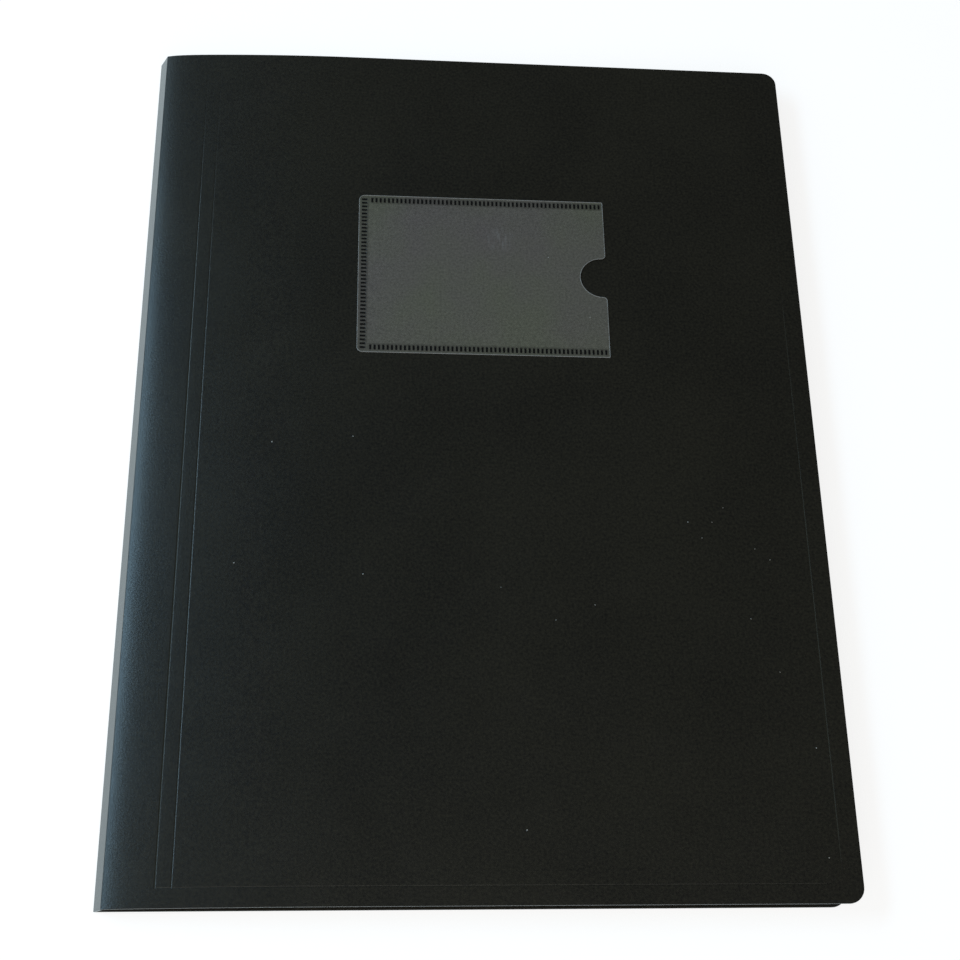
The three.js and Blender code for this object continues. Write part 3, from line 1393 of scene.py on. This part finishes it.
@dataclass
class PocketBlock:
    """Clear pockets welded together beside the spine, open at the head."""

    book: Book
    count: int = 20
    film: float = 0.06 * MM
    film_apart: float = 0.22
    spine_gap: float = 0.3 * MM
    edge_uneven: float = 0.6 * MM
    leaf_columns: int = 26
    leaf_rows: int = 22
    leaf_join: float = 1e-9
    column_power: float = 1.4
    weld: float = 7 * MM
    margin: float = 2.6 * MM
    weld_half: float = 0.9 * MM
    weld_depth: float = 0.10 * MM
    weld_stations: tuple[float, ...] = (-1, -0.5, 0, 0.5, 1)
    common_ripple: float = 0.12
    common_wave: tuple[float, float, float, float] = (5.1, 2.2, 0.7, 3.1)
    own_ripple: float = 0.15
    own_wave: Triple = (6, 5, 3)
    own_draws: int = 4
    core_inset: float = 5 * MM
    core_shares: Pair = (0.035, 0.965)
    core_columns: int = 30
    core_rows: int = 8
    seed: int = 11

    def limits(self, x: float) -> Pair:
        """Lowest and highest that the block may reach, under the front cover.

        Args:
            x: Place across.

        Returns:
            The two heights.
        """
        book = self.book
        floor = book.block_low.z
        clear = floor - book.sheet
        return floor, book.front_face(x - book.front_axis[0]) - book.sheet - clear

    def start(self, z: float) -> float:
        """Where the block begins beside the spine.

        Args:
            z: Height above the table.

        Returns:
            The place across.
        """
        book = self.book
        way = book.spine_way
        offset = book.half + self.spine_gap
        return book.rear_axis[0] + (z - book.rear_axis[1]) * way[0] / way[1] + offset / way[1]

    def level(self, x: float, share: float) -> float:
        """Height in the block, from share 0 at its floor to share 1 at its top."""
        low, high = self.limits(x)
        return low + self.film / 2 + (high - low - self.film) * share

    def begin(self, share: float) -> float:
        """Where a leaf begins beside the leaning spine."""
        return self.start(self.level(self.book.rear_axis[0] + self.weld, share))

    def across_weld(self, middle: float) -> list[float]:
        """Stations across a weld."""
        return [middle + self.weld_half * station for station in self.weld_stations]

    def seam_press(self, from_spine: float, from_edge: float, from_tail: float) -> float:
        """How far the welds press a leaf in, from 0 to 1.

        Args:
            from_spine: Distance from the block's spine side.
            from_edge: Distance from the fore-edge.
            from_tail: Distance from the tail.

        Returns:
            The share of the weld's depth.
        """
        near = min(abs(from_spine - self.weld), abs(from_edge - self.margin), abs(from_tail - self.margin))
        near /= self.weld_half
        return 0.5 + 0.5 * math.cos(math.pi * near) if near < 1 else 0.0

    def rippled(self, share: float, u: float, v: float, wave: np.ndarray) -> float:
        """A leaf's level with its ripples, which keep the leaves in order.

        Args:
            share: Its level without them.
            u: Place from the spine to the fore-edge, from 0 to 1.
            v: Place from the tail to the head, from -0.5 to 0.5.
            wave: Numbers from -1 to 1 that set how it ripples.

        Returns:
            The level.
        """
        up, across, phase, arch = self.common_wave
        common = math.sin(up * v + across * u + phase) * math.sin(arch * u)
        own_up, own_phase, own_across = self.own_wave
        own = wave[0] * math.sin(own_up * v + own_phase * wave[1] + own_across * u) * u
        spare = share * (1 - share)
        return share + self.common_ripple * spare * common + self.own_ripple / self.count * own

    def leaf(self, share: float, reach: float, height: float, wave: np.ndarray) -> tuple[list, list]:
        """One film of a pocket, as a thin closed sheet.

        Args:
            share: Its level, from 0 at the bottom of the block to 1 at the top.
            reach: Where it ends at the fore-edge.
            height: Its height from tail to head.
            wave: Numbers from -1 to 1 that set how it ripples.

        Returns:
            Vertices and faces.
        """
        begin = self.begin(share)
        columns = merged(
            spread(begin, reach, self.leaf_columns, self.column_power),
            self.across_weld(begin + self.weld),
            self.across_weld(reach - self.margin),
        )
        rows = merged(
            spread(-height / 2, height / 2, self.leaf_rows),
            self.across_weld(self.margin - height / 2),
        )
        points = []
        for side in (-0.5, 0.5):
            for y in rows:
                for x in columns:
                    at = self.rippled(share, (x - begin) / (reach - begin), y / height, wave)
                    press = self.seam_press(x - begin, reach - x, y + height / 2)
                    level = self.level(x, at) + self.weld_depth * press * (1 - 2 * share)
                    points.append((x, y, level + side * self.film))
        return points, closed_faces(len(rows), len(columns))

    def leaves(self) -> Object:
        """Builds the films of all the pockets, two for each.

        Returns:
            The leaves as one piece.
        """
        book = self.book
        chance = np.random.default_rng(self.seed)
        points, faces = [], []
        pitch = 1 / self.count
        for i in range(self.count):
            wave = chance.uniform(-1, 1, self.own_draws)
            reach = book.block_high.x - chance.uniform(0, self.edge_uneven / MM) * MM
            height = 2 * book.block_high.y - chance.uniform(0, self.edge_uneven / MM) * MM
            for side in (-1, 1):
                share = min(max((i + 0.5) * pitch + side * self.film_apart * pitch, 0.0), 1.0)
                leaf_points, leaf_faces = self.leaf(share, reach, height, wave)
                faces += [tuple(v + len(points) for v in face) for face in leaf_faces]
                points += leaf_points
        return new_object("pocket_leaves", np.array(points), faces, join=self.leaf_join)

    def core(self) -> Object:
        """Builds the stack's inside, a little smaller than its leaves all round.

        Returns:
            The inside.
        """
        reach = self.book.block_high.x - self.core_inset
        height = 2 * (self.book.block_high.y - self.core_inset)
        columns = spread(0, 1, self.core_columns, self.column_power)
        rows = spread(-height / 2, height / 2, self.core_rows)
        points = []
        for share in self.core_shares:
            begin = self.begin(share) + self.film
            for y in rows:
                for u in columns:
                    x = begin + (reach - begin) * u
                    points.append((x, y, self.level(x, share)))
        return new_object("pocket_stack", np.array(points), closed_faces(len(rows), len(columns)))

    def build(self, film_look: Material, core_look: Material) -> None:
        """Builds and dresses the pockets.

        Args:
            film_look: Finish of the clear film.
            core_look: Finish of the stack seen through it.
        """
        leaves = self.leaves()
        dress(leaves, film_look)
        core = self.core()
        dress(core, core_look)
        for piece in (leaves, core):
            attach(piece, Body.PAGES.value)
            report(piece)
        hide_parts("pocket_block")


# Studio


@dataclass(frozen=True)
class Lamp:
    """A soft lamp that faces the book, with its power in watts."""

    name: str
    way: Triple
    far: float
    size: Pair
    power: float
    colour: Triple

    def hang(self) -> None:
        """Hangs the lamp in its place."""
        light = bpy.data.lights.new(self.name, "AREA")
        light.shape = "RECTANGLE"
        light.size, light.size_y = self.size
        light.energy = self.power
        light.color = self.colour
        lamp = bpy.data.objects.new(self.name, light)
        place = Vector(self.way).normalized() * self.far
        lamp.location = place
        lamp.rotation_mode = "QUATERNION"
        lamp.rotation_quaternion = (-place).to_track_quat("-Z", "Y")
        bpy.context.scene.collection.objects.link(lamp)


WINDOW = Lamp(
    "window", way=(-0.70, 0.22, 0.68), far=1.3, size=(0.85, 0.26), power=8.6, colour=(0.46, 0.76, 1.0),
)
LOW_WINDOW = Lamp(
    "low_window", way=(-0.92, 0.36, 0.36), far=1.4, size=(2.6, 0.96), power=8, colour=(0.66, 0.87, 1.0),
)
FILL = Lamp(
    "fill", way=(-0.12, -0.85, 0.75), far=1.9, size=(2.6, 2.6), power=29, colour=(1.0, 0.965, 0.89),
)


@dataclass(frozen=True)
class Studio:
    """Floor, soft lamps and the camera at the photograph's angle."""

    camera_at: Triple = (-40.42 * MM, -208.84 * MM, 471.53 * MM)
    forward: Triple = (0.0816, 0.3830, -0.9201)
    right: Triple = (0.9965, -0.0155, 0.0819)
    lens: float = 56.09
    sensor: float = 36
    clip: Pair = (0.01, 20)
    lamps: tuple[Lamp, ...] = (WINDOW, LOW_WINDOW, FILL)
    floor_size: float = 4.0
    floor_drop: float = 0.02 * MM
    floor_paper: Colour = (0.3, 0.3, 0.3, 1)
    floor_white: Colour = (1, 1, 1, 1)
    floor_shine: Colour = (0.82, 0.95, 1.0, 1)
    floor_glow: float = 0.80
    shine_glow: float = 1.0
    air_light: float = 0.125
    air_seen: float = 1.0

    def floor(self) -> None:
        """Lays the pale floor, which is white to the camera and keeps the book's shadow."""
        half = self.floor_size / 2
        corners = np.array([(-half, -half, 0), (half, -half, 0), (half, half, 0), (-half, half, 0)])
        floor = new_object("floor", corners - np.array([0, 0, self.floor_drop]), [(0, 1, 2, 3)])
        nodes = Nodes("pale_floor")
        rays = nodes.add("LightPath").outputs
        glossy = rays["Is Glossy Ray"]
        seen = nodes.combine("MAXIMUM", rays["Is Camera Ray"], glossy)
        shown = nodes.combine("MAXIMUM", seen, rays["Is Transmission Ray"])
        paper = nodes.add("BsdfDiffuse", Color=self.floor_paper)
        level = nodes.ramp(glossy, 0, 1, self.floor_glow, self.shine_glow)
        strength = nodes.combine("MULTIPLY", shown, level)
        tint = nodes.mix(glossy, self.floor_white, self.floor_shine)
        glow = nodes.add("Emission", Color=tint, Strength=strength)
        both = nodes.add("AddShader", i0=paper.outputs[0], i1=glow.outputs[0])
        dress(floor, nodes.finish(both))

    def world(self) -> None:
        """Sets the air: white to the camera, dim to the book."""
        world = bpy.data.worlds.new("studio_air")
        bpy.context.scene.world = world
        world.use_nodes = True
        tree = world.node_tree
        tree.nodes.clear()
        out = tree.nodes.new("ShaderNodeOutputWorld")
        back = tree.nodes.new("ShaderNodeBackground")
        back.inputs["Color"].default_value = (1, 1, 1, 1)
        path = tree.nodes.new("ShaderNodeLightPath")
        level = tree.nodes.new("ShaderNodeMapRange")
        level.inputs["To Min"].default_value = self.air_light
        level.inputs["To Max"].default_value = self.air_seen
        tree.links.new(path.outputs["Is Camera Ray"], level.inputs["Value"])
        tree.links.new(level.outputs[0], back.inputs["Strength"])
        tree.links.new(back.outputs[0], out.inputs["Surface"])

    def camera(self) -> None:
        """Sets the camera where the photograph was taken from."""
        data = bpy.data.cameras.new("camera")
        data.lens = self.lens
        data.sensor_width = self.sensor
        data.clip_start, data.clip_end = self.clip
        forward = Vector(self.forward).normalized()
        right = Vector(self.right)
        right = (right - forward * right.dot(forward)).normalized()
        up = right.cross(forward)
        camera = bpy.data.objects.new("camera", data)
        turn = Matrix((right, up, -forward)).transposed()
        camera.matrix_world = Matrix.Translation(self.camera_at) @ turn.to_4x4()
        bpy.context.scene.collection.objects.link(camera)
        bpy.context.scene.camera = camera

    def build(self) -> None:
        """Sets up the whole studio."""
        self.camera()
        self.floor()
        self.world()
        for lamp in self.lamps:
            lamp.hang()
        bpy.context.scene.view_settings.view_transform = "Standard"


def main() -> None:
    """Builds the display book and its studio."""
    logging.basicConfig(level=logging.INFO, format="%(message)s")
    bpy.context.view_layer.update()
    book = Book.from_frame()
    Studio().build()
    looks = SheetLooks(COVER_PLASTIC.build(), CREASE_HIGHLIGHT.build(), SPINE_PLASTIC.build())
    CoverSheet(book).build(looks)
    band = WeldBand(book.card_low, book.card_high)
    scuff = Scuff((*SCUFF_AT, book.card_high.z))
    card_film = replace(CARD_FILM, band=band, scuff=scuff)
    CardPocket(book).build(card_film.build(), WELD_MARKS.build(), FILM_EDGE_HIGHLIGHT.build())
    Dust(book).build(DUST.build())
    PocketBlock(book).build(POCKET_FILM.build(), POCKET_STACK.build())


if __name__ == "__main__":
    main()
